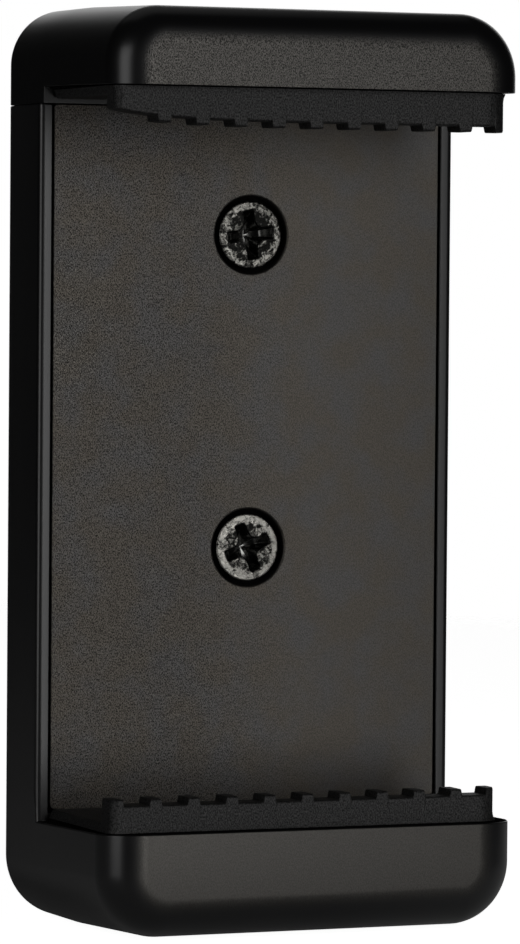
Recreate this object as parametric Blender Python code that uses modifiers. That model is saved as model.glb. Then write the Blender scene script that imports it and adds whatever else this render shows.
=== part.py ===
# Spring phone holder: a housing with a fixed lower jaw, and a sliding upper jaw on a two-legged tongue.
# Metres, +Z up. The phone lies against the front plate, which faces -Y. The origin is under the middle
# of the holder, at the bottom of the fixed jaw.

import math

import bmesh
import bpy
from mathutils import Matrix, Vector

MM = 0.001

# Outer form
WIDTH = 39.0 * MM  # across the housing and both jaws
HEIGHT = 79.2 * MM  # closed, from the bottom of the fixed jaw to the top of the sliding jaw
BODY_DEPTH = 8.2 * MM  # housing, from its rim face to its back
JAW_REACH = 16.0 * MM  # from the rim face to the nose of a jaw
LOWER_ARM = 9.35 * MM  # thickness of the fixed jaw
UPPER_ARM = 7.15 * MM  # thickness of the sliding jaw
UPPER_STEP = 1.2 * MM  # strip of rim face between the sliding jaw's arm and the seam
LOWER_STEP = 0.65 * MM  # strip of rim face between the fixed jaw's arm and the front plate
FACE_LEAN = 0.25 * MM  # how far the facing sides of the arms spread apart from nose to rim
CORNER_RADIUS = 5.3 * MM  # corners as seen from the front
NOSE_FILLET = 2.6 * MM  # round edge of the jaws' front faces
BACK_FILLET = 1.0 * MM  # round edge of the back
SIDE_DRAFT = 0.75 * MM  # how far each side of a jaw leans in at its nose
END_DRAFT = 0.45 * MM  # how far the top and bottom lean in at the nose

# Clearance between pieces that seat on each other or slide past each other
GAP = 0.3 * MM
TRAVEL = 29.0 * MM  # how far the sliding jaw pulls out

# Walls
RIM_WALL = 1.1 * MM  # rim beside the front plate
SIDE_WALL = 2.6 * MM  # side wall behind the plate, which also carries the plate
BACK_WALL = 1.6 * MM
JAW_WALL = 2.2 * MM  # walls of the hollow jaws
FLOOR = 1.9 * MM  # wall at the closed face of each jaw
CHANNEL_SILL = 0.95 * MM  # how far the plate's lower edge covers the housing

# Front plate and its screws
PLATE_THICKNESS = 1.6 * MM
PLATE_RECESS = 0.1 * MM  # plate face behind the rim face
PLATE_CORNER = 0.6 * MM
SCREW_BELOW_TOP = 11.1 * MM  # upper screw, from the top edge of the plate
SCREW_PITCH = 27.3 * MM
HEAD_DIAMETER = 5.7 * MM
HEAD_HEIGHT = 2.1 * MM
HEAD_CROWN = 0.25 * MM  # rise of the head's top towards its middle
HEAD_EDGE = 0.5 * MM  # round edge of the head
HEAD_SINK = 0.05 * MM  # middle of the head behind the plate face
SHANK_DIAMETER = 2.9 * MM
SHANK_LENGTH = 4.6 * MM
CROSS_SPAN = 4.0 * MM
CROSS_WIDTH = 1.05 * MM
CROSS_DEPTH = 1.3 * MM
CROSS_FOOT_SPAN = 0.55  # share of the span that is left at the bottom of the cross
CROSS_FOOT_WIDTH = 0.7
UPPER_CROSS_TURN = math.radians(4)
LOWER_CROSS_TURN = math.radians(-20)
RECESS_CLEARANCE = 0.45 * MM  # round the screw head
RECESS_CHAMFER = 0.25 * MM
CUP_WALL = 1.0 * MM  # wall and floor of the cup that holds the head
BOSS_WALL = 1.2 * MM

# Springs and the two cross rods that they hook on
WIRE = 0.5 * MM
SPRING_DIAMETER = 3.9 * MM
SPRING_TURNS = 16
POINTS_PER_TURN = 9
ROD_DIAMETER = 1.6 * MM
LANE_CLEARANCE = 0.5 * MM  # beside the spring
TAB_WALL = 0.8 * MM  # material between the slot for the screw cups and a spring lane
LOWER_ROD_ABOVE_FLOOR = 2.6 * MM
UPPER_ROD_BELOW_SEAM = 3.9 * MM
ROD_SEAT = 1.8 * MM  # length of rod that lies in its outer seats
SADDLE_WALL = 1.2 * MM
LEG_CLEARANCE = 1.5 * MM  # between the closed jaw's legs and the seats below them
LUG = 0.6 * MM  # stop lug on the outside of each leg
LUG_DEPTH = 1.2 * MM
LUG_HEIGHT = 4.0 * MM

# Rubber pads
PAD_INSET = 0.85 * MM  # pad end inside the side of the jaw, at the nose
PAD_SETBACK = 1.2 * MM  # pad front behind the nose of the jaw
PAD_BASE = 0.8 * MM  # top of the flat part, above the arm
LIP_HEIGHT = 3.0 * MM  # top of the teeth, above the arm
LIP_DEPTH = 2.6 * MM
PAD_CORNER = 2.6 * MM
TOOTH_PITCH = 3.47 * MM
TOOTH_WIDTH = 1.2 * MM
TOOTH_HEIGHT = 0.5 * MM
PLUG_DEPTH = 1.4 * MM  # part of the pad that fills the mouth of the hollow jaw
PAD_REAR_GAP = 0.4 * MM

# Tripod insert
INSERT_DIAMETER = 9.0 * MM
INSERT_LENGTH = 6.4 * MM
INSERT_BORE = 6.3 * MM  # major diameter of the tripod thread
INSERT_GROOVE = 0.45 * MM
INSERT_BOSS_WALL = 1.6 * MM

# Places worked out from the sizes above
HALF_WIDTH = WIDTH / 2
DEPTH = BODY_DEPTH + JAW_REACH
NOSE_Y = -DEPTH / 2
RIM_Y = NOSE_Y + JAW_REACH
BACK_Y = DEPTH / 2
SEAM_Z = HEIGHT - UPPER_ARM - UPPER_STEP
HOUSING_TOP = SEAM_Z - GAP / 2
JAW_BOTTOM = SEAM_Z + GAP / 2
UPPER_FACE_Z = HEIGHT - UPPER_ARM
PLATE_BOTTOM = LOWER_ARM + LOWER_STEP
PLATE_TOP = HOUSING_TOP
PLATE_HALF = HALF_WIDTH - RIM_WALL - GAP
PLATE_FACE_Y = RIM_Y + PLATE_RECESS
PLATE_BACK_Y = PLATE_FACE_Y + PLATE_THICKNESS
PLATE_SEAT_Y = PLATE_BACK_Y + GAP
CHANNEL_HALF = HALF_WIDTH - SIDE_WALL
CHANNEL_BACK_Y = BACK_Y - BACK_WALL
CHANNEL_FLOOR_Z = PLATE_BOTTOM + CHANNEL_SILL
TONGUE_HALF = CHANNEL_HALF - GAP
TONGUE_FRONT_Y = PLATE_BACK_Y + GAP
TONGUE_BACK_Y = CHANNEL_BACK_Y - GAP

UPPER_SCREW_Z = PLATE_TOP - SCREW_BELOW_TOP
LOWER_SCREW_Z = UPPER_SCREW_Z - SCREW_PITCH
RECESS_RADIUS = HEAD_DIAMETER / 2 + RECESS_CLEARANCE
CUP_RADIUS = RECESS_RADIUS + CUP_WALL
HEAD_SEAT_Y = PLATE_FACE_Y + HEAD_SINK + HEAD_HEIGHT
CUP_FLOOR_Y = HEAD_SEAT_Y + GAP
CUP_BACK_Y = CUP_FLOOR_Y + CUP_WALL
SCREW_HOLE_RADIUS = SHANK_DIAMETER / 2 + GAP
BOSS_RADIUS = SCREW_HOLE_RADIUS + BOSS_WALL
SHANK_END_Y = HEAD_SEAT_Y + SHANK_LENGTH

SPRING_Y = (PLATE_BACK_Y + CHANNEL_BACK_Y) / 2
SLOT_HALF = CUP_RADIUS + GAP
LANE_INNER = SLOT_HALF + TAB_WALL
SPRING_X = LANE_INNER + LANE_CLEARANCE + SPRING_DIAMETER / 2
LANE_OUTER = SPRING_X + SPRING_DIAMETER / 2 + LANE_CLEARANCE
ROD_RADIUS = ROD_DIAMETER / 2
ROD_HALF = LANE_OUTER + ROD_SEAT
LOWER_ROD_Z = CHANNEL_FLOOR_Z + LOWER_ROD_ABOVE_FLOOR
UPPER_ROD_Z = SEAM_Z - UPPER_ROD_BELOW_SEAM
SADDLE_TOP = LOWER_ROD_Z + ROD_RADIUS + GAP + SADDLE_WALL
LEG_END_Z = SADDLE_TOP + LEG_CLEARANCE
TAB_END_Z = UPPER_SCREW_Z + CUP_RADIUS + GAP
LANE_TOP_Z = UPPER_ROD_Z + ROD_RADIUS + 2 * GAP + WIRE + GAP
LUG_Y = SPRING_Y

POCKET_HALF = HALF_WIDTH - SIDE_DRAFT - JAW_WALL
POCKET_FRONT_Y = NOSE_Y + JAW_WALL + PAD_SETBACK
POCKET_BACK_Y = RIM_Y - JAW_WALL
PAD_HALF = HALF_WIDTH - SIDE_DRAFT - PAD_INSET
PAD_FRONT_Y = NOSE_Y + PAD_SETBACK
PAD_REAR_Y = RIM_Y - PAD_REAR_GAP
INSERT_RADIUS = INSERT_DIAMETER / 2
ON_PLANE = 0.1 * MM  # how close to a plane a vertex that lies on it is looked for

HOUSING_COLOUR = (0.018, 0.018, 0.019)
PLATE_COLOUR = (0.030, 0.029, 0.029)
RUBBER_COLOUR = (0.022, 0.022, 0.023)
SCREW_COLOUR = (0.045, 0.045, 0.047)
STEEL_COLOUR = (0.55, 0.55, 0.56)
BRASS_COLOUR = (0.72, 0.52, 0.23)


def clear_scene():
    for thing in list(bpy.data.objects):
        bpy.data.objects.remove(thing, do_unlink=True)
    for group in list(bpy.data.collections):
        bpy.data.collections.remove(group)


def new_collection(name):
    group = bpy.data.collections.new(name)
    bpy.context.scene.collection.children.link(group)
    return group


def new_material(name, colour, roughness, metallic=0.0):
    material = bpy.data.materials.new(name)
    material.use_nodes = True
    shader = material.node_tree.nodes["Principled BSDF"]
    shader.inputs["Base Color"].default_value = (*colour, 1.0)
    shader.inputs["Roughness"].default_value = roughness
    shader.inputs["Metallic"].default_value = metallic
    material.diffuse_color = (*colour, 1.0)
    return material


clear_scene()
PARTS = new_collection("phone_holder")
CUTTERS = new_collection("cutters")


def object_from_bmesh(bm, name, group):
    mesh = bpy.data.meshes.new(name)
    bm.to_mesh(mesh)
    bm.free()
    thing = bpy.data.objects.new(name, mesh)
    group.objects.link(thing)
    return thing


def mark_as_guide(thing):
    thing.hide_render = True
    thing.display_type = "WIRE"


def box_bmesh(low, high):
    bm = bmesh.new()
    bmesh.ops.create_cube(bm, size=1.0)
    size = [b - a for a, b in zip(low, high)]
    middle = [(a + b) / 2 for a, b in zip(low, high)]
    bmesh.ops.scale(bm, vec=size, verts=bm.verts)
    bmesh.ops.translate(bm, vec=middle, verts=bm.verts)
    return bm


def box(name, low, high):
    thing = object_from_bmesh(box_bmesh(low, high), name, CUTTERS)
    mark_as_guide(thing)
    return thing


def cylinder(name, start, end, radius, end_radius=None, segments=32):
    # A round bar, or a cone where the two radii differ, from one point to another.
    axis = Vector(end) - Vector(start)
    bm = bmesh.new()
    bmesh.ops.create_cone(
        bm,
        cap_ends=True,
        segments=segments,
        radius1=radius,
        radius2=radius if end_radius is None else end_radius,
        depth=axis.length,
    )
    turn = Vector((0, 0, 1)).rotation_difference(axis).to_matrix().to_4x4()
    middle = (Vector(start) + Vector(end)) / 2
    bmesh.ops.transform(bm, matrix=Matrix.Translation(middle) @ turn, verts=bm.verts)
    thing = object_from_bmesh(bm, name, CUTTERS)
    mark_as_guide(thing)
    return thing


def add_boolean(target, tool, operation):
    modifier = target.modifiers.new(tool.name, "BOOLEAN")
    modifier.operation = operation
    modifier.solver = "EXACT"
    modifier.object = tool


def cut(target, tool):
    add_boolean(target, tool, "DIFFERENCE")


def join(target, tool):
    add_boolean(target, tool, "UNION")


def finish(thing, material, angle=35):
    thing.data.materials.clear()
    thing.data.materials.append(material)
    thing.data.shade_smooth()
    thing.data.set_sharp_from_angle(angle=math.radians(angle))
    return thing


def edges_where(bm, test):
    return [edge for edge in bm.edges if all(test(v.co) for v in edge.verts)]


def outer_form():
    # The closed holder as one block: corners rounded as seen from the front, then the part in front
    # of the rim face leans in towards the nose, and the front and back edges are rounded.
    bm = box_bmesh((-HALF_WIDTH, NOSE_Y, 0), (HALF_WIDTH, BACK_Y, HEIGHT))
    along_y = [e for e in bm.edges if abs(e.verts[0].co.y - e.verts[1].co.y) > DEPTH / 2]
    bmesh.ops.bevel(bm, geom=along_y, offset=CORNER_RADIUS, segments=8, profile=0.5, affect="EDGES")
    whole = bm.verts[:] + bm.edges[:] + bm.faces[:]
    bmesh.ops.bisect_plane(bm, geom=whole, plane_co=(0, RIM_Y, 0), plane_no=(0, 1, 0))
    nose = [v for v in bm.verts if v.co.y < NOSE_Y + ON_PLANE]
    centre = Vector((0, 0, HEIGHT / 2))
    lean = (1 - SIDE_DRAFT / HALF_WIDTH, 1, 1 - 2 * END_DRAFT / HEIGHT)
    bmesh.ops.scale(bm, vec=lean, space=Matrix.Translation(-centre), verts=nose)
    front_edges = edges_where(bm, lambda co: co.y < NOSE_Y + ON_PLANE)
    bmesh.ops.bevel(bm, geom=front_edges, offset=NOSE_FILLET, segments=5, profile=0.5, affect="EDGES")
    back_edges = edges_where(bm, lambda co: co.y > BACK_Y - ON_PLANE)
    bmesh.ops.bevel(bm, geom=back_edges, offset=BACK_FILLET, segments=3, profile=0.5, affect="EDGES")
    return bm


def keep_side(bm, z, keep_above):
    # Cuts the block at a level plane, drops one side and closes the cut.
    whole = bm.verts[:] + bm.edges[:] + bm.faces[:]
    bmesh.ops.bisect_plane(
        bm,
        geom=whole,
        plane_co=(0, 0, z),
        plane_no=(0, 0, 1),
        clear_inner=keep_above,
        clear_outer=not keep_above,
    )
    rim = [edge for edge in bm.edges if edge.is_boundary]
    bmesh.ops.holes_fill(bm, edges=rim, sides=0)
    bmesh.ops.recalc_face_normals(bm, faces=bm.faces)


def phone_bay():
    # The room in front of the rim face, between the two arms. It is a little taller at the rim.
    bm = box_bmesh((-WIDTH, NOSE_Y, LOWER_ARM), (WIDTH, RIM_Y, UPPER_FACE_Z))
    for vert in bm.verts:
        if vert.co.y > 0:
            vert.co.z += math.copysign(FACE_LEAN, vert.co.z - HEIGHT / 2)
        else:
            vert.co.y -= MM
    bay = object_from_bmesh(bm, "phone_bay", CUTTERS)
    mark_as_guide(bay)
    return bay


def rod_slot(name, z):
    # Open towards the plate, so that the rod drops in before the plate goes on.
    half = ROD_RADIUS + GAP
    low = (-ROD_HALF - GAP, PLATE_FACE_Y, z - half)
    high = (ROD_HALF + GAP, SPRING_Y + half, z + half)
    return box(name, low, high)


def make_housing(material, bay):
    bm = outer_form()
    keep_side(bm, HOUSING_TOP, keep_above=False)
    housing = object_from_bmesh(bm, "housing", PARTS)
    cut(housing, bay)

    above = HOUSING_TOP + DEPTH
    plate_half = HALF_WIDTH - RIM_WALL
    low = (-plate_half, RIM_Y - GAP, PLATE_BOTTOM - GAP)
    cut(housing, box("plate_pocket", low, (plate_half, PLATE_SEAT_Y, above)))

    low = (-CHANNEL_HALF, RIM_Y, CHANNEL_FLOOR_Z)
    cut(housing, box("channel", low, (CHANNEL_HALF, CHANNEL_BACK_Y, above)))

    # Grooves for the stop lugs. Their upper ends stop the jaw at full travel.
    groove_half = CHANNEL_HALF + LUG
    groove_depth = LUG_DEPTH / 2 + GAP
    groove_top = LEG_END_Z + LUG_HEIGHT + TRAVEL + GAP
    low = (-groove_half, LUG_Y - groove_depth, CHANNEL_FLOOR_Z + GAP)
    high = (groove_half, LUG_Y + groove_depth, groove_top)
    cut(housing, box("lug_grooves", low, high))

    low = (-POCKET_HALF, POCKET_FRONT_Y, FLOOR)
    high = (POCKET_HALF, POCKET_BACK_Y, LOWER_ARM + JAW_REACH)
    cut(housing, box("lower_pocket", low, high))

    # Saddle blocks for the lower rod: one between the springs and one outside each of them.
    saddle_bottom = CHANNEL_FLOOR_Z - GAP
    saddle_front = PLATE_BACK_Y + GAP
    saddle_back = CHANNEL_BACK_Y + GAP
    low = (-LANE_INNER, saddle_front, saddle_bottom)
    join(housing, box("middle_saddle", low, (LANE_INNER, saddle_back, SADDLE_TOP)))
    outer = ROD_HALF + SADDLE_WALL
    for side, name in ((-1, "left_saddle"), (1, "right_saddle")):
        near, far = sorted((side * LANE_OUTER, side * outer))
        low = (near, saddle_front, saddle_bottom)
        join(housing, box(name, low, (far, saddle_back, SADDLE_TOP)))
    cut(housing, rod_slot("lower_rod_slot", LOWER_ROD_Z))

    for name, z in (("upper_boss", UPPER_SCREW_Z), ("lower_boss", LOWER_SCREW_Z)):
        start = (0, CUP_BACK_Y + GAP, z)
        join(housing, cylinder(name, start, (0, CHANNEL_BACK_Y + GAP, z), BOSS_RADIUS))
        start = (0, CUP_BACK_Y - GAP, z)
        end = (0, SHANK_END_Y + GAP, z)
        cut(housing, cylinder(name + "_hole", start, end, SCREW_HOLE_RADIUS))

    insert_top = GAP + INSERT_LENGTH + GAP
    boss_radius = INSERT_RADIUS + GAP + INSERT_BOSS_WALL
    join(housing, cylinder("insert_boss", (0, 0, GAP), (0, 0, insert_top + GAP), boss_radius))
    hole_radius = INSERT_RADIUS + GAP
    cut(housing, cylinder("insert_hole", (0, 0, -INSERT_LENGTH), (0, 0, insert_top - GAP), hole_radius))
    return finish(housing, material)


def make_front_plate(material):
    bm = box_bmesh((-PLATE_HALF, PLATE_FACE_Y, PLATE_BOTTOM), (PLATE_HALF, PLATE_BACK_Y, PLATE_TOP))
    along_y = [e for e in bm.edges if abs(e.verts[0].co.y - e.verts[1].co.y) > PLATE_THICKNESS / 2]
    bmesh.ops.bevel(bm, geom=along_y, offset=PLATE_CORNER, segments=3, profile=0.5, affect="EDGES")
    plate = object_from_bmesh(bm, "front_plate", PARTS)
    for name, z in (("upper_cup", UPPER_SCREW_Z), ("lower_cup", LOWER_SCREW_Z)):
        start = (0, PLATE_FACE_Y + PLATE_THICKNESS / 2, z)
        join(plate, cylinder(name, start, (0, CUP_BACK_Y, z), CUP_RADIUS))
        mouth = RECESS_RADIUS + 2 * RECESS_CHAMFER
        start = (0, PLATE_FACE_Y - RECESS_CHAMFER, z)
        cut(plate, cylinder(name + "_recess", start, (0, CUP_FLOOR_Y, z), RECESS_RADIUS))
        end = (0, PLATE_FACE_Y + RECESS_CHAMFER, z)
        cut(plate, cylinder(name + "_mouth", start, end, mouth, RECESS_RADIUS))
        start = (0, CUP_FLOOR_Y - CUP_WALL, z)
        end = (0, CUP_BACK_Y + CUP_WALL, z)
        cut(plate, cylinder(name + "_hole", start, end, SCREW_HOLE_RADIUS, segments=24))
    return finish(plate, material)


def make_sliding_jaw(material, bay):
    bm = outer_form()
    keep_side(bm, JAW_BOTTOM, keep_above=True)
    jaw = object_from_bmesh(bm, "sliding_jaw", PARTS)
    cut(jaw, bay)

    low = (-POCKET_HALF, POCKET_FRONT_Y, UPPER_FACE_Z - JAW_REACH)
    high = (POCKET_HALF, POCKET_BACK_Y, HEIGHT - FLOOR)
    cut(jaw, box("upper_pocket", low, high))

    low = (-TONGUE_HALF, TONGUE_FRONT_Y, LEG_END_Z)
    join(jaw, box("tongue", low, (TONGUE_HALF, TONGUE_BACK_Y, JAW_BOTTOM + UPPER_STEP)))

    # The space between the legs clears the screw cups, and above it each spring has its own lane.
    low = (-LANE_OUTER, PLATE_FACE_Y, LEG_END_Z - LUG_HEIGHT)
    cut(jaw, box("leg_space", low, (LANE_OUTER, BACK_Y, TAB_END_Z)))
    for side, name in ((-1, "left_lane"), (1, "right_lane")):
        near, far = sorted((side * LANE_INNER, side * LANE_OUTER))
        low = (near, PLATE_FACE_Y, TAB_END_Z - GAP)
        cut(jaw, box(name, low, (far, BACK_Y, LANE_TOP_Z)))
    cut(jaw, rod_slot("upper_rod_slot", UPPER_ROD_Z))

    for side, name in ((-1, "left_lug"), (1, "right_lug")):
        near, far = sorted((side * (TONGUE_HALF - LUG), side * (TONGUE_HALF + LUG)))
        low = (near, LUG_Y - LUG_DEPTH / 2, LEG_END_Z)
        join(jaw, box(name, low, (far, LUG_Y + LUG_DEPTH / 2, LEG_END_Z + LUG_HEIGHT)))
    return finish(jaw, material)


def make_pad(name, material, face_z, side):
    # One pad, standing on the arm face at face_z. side is 1 for the lower pad, which stands upwards,
    # and -1 for the upper one.
    def level(height):
        return face_z + side * height

    def between(a, b):
        return sorted((level(a), level(b)))

    bottom, top = between(GAP, LIP_HEIGHT)
    bm = box_bmesh((-PAD_HALF, PAD_FRONT_Y, bottom), (PAD_HALF, PAD_REAR_Y, top))
    front_corners = [
        e
        for e in bm.edges
        if abs(e.verts[0].co.z - e.verts[1].co.z) > LIP_HEIGHT / 2 and e.verts[0].co.y < 0
    ]
    bmesh.ops.bevel(bm, geom=front_corners, offset=PAD_CORNER, segments=5, profile=0.5, affect="EDGES")
    pad = object_from_bmesh(bm, name, PARTS)

    low_z, high_z = between(PAD_BASE, LIP_HEIGHT + PAD_BASE)
    low = (-WIDTH, PAD_FRONT_Y + LIP_DEPTH, low_z)
    cut(pad, box(name + "_behind_lip", low, (WIDTH, BACK_Y, high_z)))

    grooves = bmesh.new()
    low_z, high_z = between(LIP_HEIGHT - TOOTH_HEIGHT, LIP_HEIGHT + TOOTH_HEIGHT)
    count = int(PAD_HALF / TOOTH_PITCH)
    for step in range(-count, count):
        start = step * TOOTH_PITCH + TOOTH_WIDTH / 2
        end = start + TOOTH_PITCH - TOOTH_WIDTH
        groove = box_bmesh((start, NOSE_Y, low_z), (end, PAD_FRONT_Y + 2 * LIP_DEPTH, high_z))
        mesh = bpy.data.meshes.new("groove")
        groove.to_mesh(mesh)
        groove.free()
        grooves.from_mesh(mesh)
        bpy.data.meshes.remove(mesh)
    tool = object_from_bmesh(grooves, name + "_grooves", CUTTERS)
    mark_as_guide(tool)
    cut(pad, tool)

    low_z, high_z = between(-PLUG_DEPTH, PAD_BASE / 2)
    low = (-POCKET_HALF + GAP, POCKET_FRONT_Y + GAP, low_z)
    high = (POCKET_HALF - GAP, POCKET_BACK_Y - GAP, high_z)
    join(pad, box(name + "_plug", low, high))
    return finish(pad, material)


def turned(name, profile, segments, group):
    # A profile of (radius, height) points, from top to bottom, turned about its own Z axis.
    mesh = bpy.data.meshes.new(name)
    points = [(radius, 0, height) for radius, height in profile]
    mesh.from_pydata(points, [(i, i + 1) for i in range(len(points) - 1)], [])
    thing = bpy.data.objects.new(name, mesh)
    group.objects.link(thing)
    screw = thing.modifiers.new("turn", "SCREW")
    screw.axis = "Z"
    screw.steps = segments
    screw.render_steps = segments
    screw.use_merge_vertices = True
    screw.merge_threshold = MM / 100
    screw.use_smooth_shade = True
    return thing


def make_screw(name, material, z, turn):
    # Pan head with a cross recess, in its own frame with the head up, then laid along the Y axis.
    radius = HEAD_DIAMETER / 2
    shank = SHANK_DIAMETER / 2
    flat = radius - HEAD_EDGE
    crown = [(flat * i / 3, HEAD_HEIGHT - HEAD_CROWN * (i / 3) ** 2) for i in range(4)]
    edge_z = HEAD_HEIGHT - HEAD_CROWN - HEAD_EDGE
    turns = [math.radians(90 * i / 4) for i in range(1, 5)]
    edge = [(flat + HEAD_EDGE * math.sin(a), edge_z + HEAD_EDGE * math.cos(a)) for a in turns]
    tip = SHANK_LENGTH - shank / 2
    foot = [(radius, 0), (shank, 0), (shank, -tip), (shank / 2, -SHANK_LENGTH), (0, -SHANK_LENGTH)]
    profile = crown + edge + foot
    screw = turned(name, profile, 28, PARTS)
    place = Matrix.Translation((0, HEAD_SEAT_Y, z)) @ Matrix.Rotation(math.radians(90), 4, "X")
    screw.matrix_world = place
    for blade, extra in (("_blade_a", 0), ("_blade_b", math.radians(90))):
        low = (-CROSS_SPAN / 2, -CROSS_WIDTH / 2, HEAD_HEIGHT - CROSS_DEPTH)
        high = (CROSS_SPAN / 2, CROSS_WIDTH / 2, HEAD_HEIGHT + CROSS_DEPTH)
        bm = box_bmesh(low, high)
        foot = [v for v in bm.verts if v.co.z < HEAD_HEIGHT]
        bmesh.ops.scale(bm, vec=(CROSS_FOOT_SPAN, CROSS_FOOT_WIDTH, 1), verts=foot)
        tool = object_from_bmesh(bm, name + blade, CUTTERS)
        mark_as_guide(tool)
        tool.matrix_world = place @ Matrix.Rotation(turn + extra, 4, "Z")
        cut(screw, tool)
    return finish(screw, material)


def make_rod(name, material, z):
    # Steel cross rod that both springs hook on, with its ends rounded off.
    chamfer = ROD_RADIUS / 3
    profile = [
        (0, ROD_HALF),
        (ROD_RADIUS - chamfer, ROD_HALF),
        (ROD_RADIUS, ROD_HALF - chamfer),
        (ROD_RADIUS, -ROD_HALF + chamfer),
        (ROD_RADIUS - chamfer, -ROD_HALF),
        (0, -ROD_HALF),
    ]
    rod = turned(name, profile, 16, PARTS)
    rod.matrix_world = Matrix.Translation((0, SPRING_Y, z)) @ Matrix.Rotation(math.radians(90), 4, "Y")
    return finish(rod, material)


def spring_points(x):
    # Centre line of an extension spring: a coil about a vertical axis, and at each end a hook in the
    # plane of the axis, round the cross rod.
    coil = (SPRING_DIAMETER - WIRE) / 2
    hook = ROD_RADIUS + GAP + WIRE / 2
    coil_bottom = LOWER_ROD_Z + hook + coil
    coil_top = UPPER_ROD_Z - hook - coil
    count = SPRING_TURNS * POINTS_PER_TURN
    points = []
    for i in range(count + 1):
        angle = math.radians(90) + 2 * math.pi * i / POINTS_PER_TURN
        z = coil_bottom + (coil_top - coil_bottom) * i / count
        points.append((x + coil * math.cos(angle), SPRING_Y + coil * math.sin(angle), z))

    def hook_points(rod_z, side):
        # side is 1 for the upper hook. It leaves the coil at the back and turns over the rod.
        turns = [math.radians(-30 + 30 * i) for i in range(9)]
        return [(x, SPRING_Y + hook * math.cos(a), rod_z + side * hook * math.sin(a)) for a in turns]

    lower = list(reversed(hook_points(LOWER_ROD_Z, -1)))
    return lower + points + hook_points(UPPER_ROD_Z, 1)


def make_spring(name, material, x):
    curve = bpy.data.curves.new(name, "CURVE")
    curve.dimensions = "3D"
    curve.bevel_depth = WIRE / 2
    curve.bevel_resolution = 2
    curve.use_fill_caps = True
    points = spring_points(x)
    line = curve.splines.new("POLY")
    line.points.add(len(points) - 1)
    for point, place in zip(line.points, points):
        point.co = (*place, 1.0)
    curve.materials.append(material)
    spring = bpy.data.objects.new(name, curve)
    PARTS.objects.link(spring)
    return spring


def make_insert(material):
    # Tripod nut: a turned brass sleeve with a groove round its middle, closed into the fixed jaw.
    bore = INSERT_BORE / 2
    outer = INSERT_RADIUS
    waist = outer - INSERT_GROOVE
    bottom = GAP
    top = bottom + INSERT_LENGTH
    middle = (bottom + top) / 2
    groove = INSERT_LENGTH / 8
    chamfer = INSERT_GROOVE
    profile = [
        (bore, top - chamfer),
        (bore + chamfer, top),
        (outer - chamfer, top),
        (outer, top - chamfer),
        (outer, middle + groove),
        (waist, middle + groove / 2),
        (waist, middle - groove / 2),
        (outer, middle - groove),
        (outer, bottom),
        (bore + chamfer, bottom),
        (bore, bottom + chamfer),
        (bore, top - chamfer),
    ]
    return finish(turned("tripod_insert", profile, 32, PARTS), material)


def make_holder():
    plastic = new_material("satin_black_abs", HOUSING_COLOUR, 0.42)
    textured = new_material("textured_black_abs", PLATE_COLOUR, 0.55)
    rubber = new_material("black_rubber", RUBBER_COLOUR, 0.8)
    blackened = new_material("black_screw_steel", SCREW_COLOUR, 0.3, 1.0)
    steel = new_material("spring_steel", STEEL_COLOUR, 0.3, 1.0)
    brass = new_material("turned_brass", BRASS_COLOUR, 0.3, 1.0)

    bay = phone_bay()
    make_housing(plastic, bay)
    make_front_plate(textured)
    make_sliding_jaw(plastic, bay)
    make_pad("lower_pad", rubber, LOWER_ARM, 1)
    make_pad("upper_pad", rubber, UPPER_FACE_Z, -1)
    make_screw("plate_screw_upper", blackened, UPPER_SCREW_Z, UPPER_CROSS_TURN)
    make_screw("plate_screw_lower", blackened, LOWER_SCREW_Z, LOWER_CROSS_TURN)
    make_rod("spring_rod_lower", steel, LOWER_ROD_Z)
    make_rod("spring_rod_upper", steel, UPPER_ROD_Z)
    make_spring("spring_left", steel, -SPRING_X)
    make_spring("spring_right", steel, SPRING_X)
    make_insert(brass)


make_holder()
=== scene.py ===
# Looks of the spring phone holder: moulded shells, rubber grips, screws, springs and thread.
# Metres, +Z up, -Y is the front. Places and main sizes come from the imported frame. The sizes in the
# dictionaries are millimetres, and the lamps' and the floor's are metres.
import math

import bmesh
import bpy
import numpy as np
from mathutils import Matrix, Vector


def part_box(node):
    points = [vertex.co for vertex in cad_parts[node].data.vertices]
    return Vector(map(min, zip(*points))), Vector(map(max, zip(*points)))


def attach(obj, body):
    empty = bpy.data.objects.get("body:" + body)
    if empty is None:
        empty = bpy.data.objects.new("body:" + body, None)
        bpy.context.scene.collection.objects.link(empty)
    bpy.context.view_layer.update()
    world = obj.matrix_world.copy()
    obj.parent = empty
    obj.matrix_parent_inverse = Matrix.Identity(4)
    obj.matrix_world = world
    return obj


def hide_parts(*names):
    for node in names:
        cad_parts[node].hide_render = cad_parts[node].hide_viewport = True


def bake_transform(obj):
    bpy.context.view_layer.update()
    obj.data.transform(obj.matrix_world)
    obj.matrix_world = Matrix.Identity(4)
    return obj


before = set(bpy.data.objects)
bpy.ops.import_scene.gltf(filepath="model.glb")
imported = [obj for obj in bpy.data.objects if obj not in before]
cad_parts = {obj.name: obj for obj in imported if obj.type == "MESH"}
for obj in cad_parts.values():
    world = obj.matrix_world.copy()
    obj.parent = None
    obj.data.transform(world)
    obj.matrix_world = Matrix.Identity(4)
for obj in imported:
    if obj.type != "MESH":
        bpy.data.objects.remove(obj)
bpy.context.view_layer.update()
print("frame loaded")

mm = 0.001
gap = 0.3 * mm  # between neighbours in the frame
hair = 0.05 * mm  # overlap of forms that are joined, and support beside a rounded edge

housingLow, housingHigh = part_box("housing")
plateLow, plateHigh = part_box("front_plate")
halfWidth = housingHigh.x
far = 2 * halfWidth  # well past the sides
noseY = housingLow.y
backY = housingHigh.y
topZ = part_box("sliding_jaw")[1].z
seamZ = housingHigh.z + gap / 2
rimY = plateLow.y - 0.1 * mm


# Mesh helpers

def newObject(name, data):
    thing = bpy.data.objects.new(name, data)
    bpy.context.scene.collection.objects.link(thing)
    return thing


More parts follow.
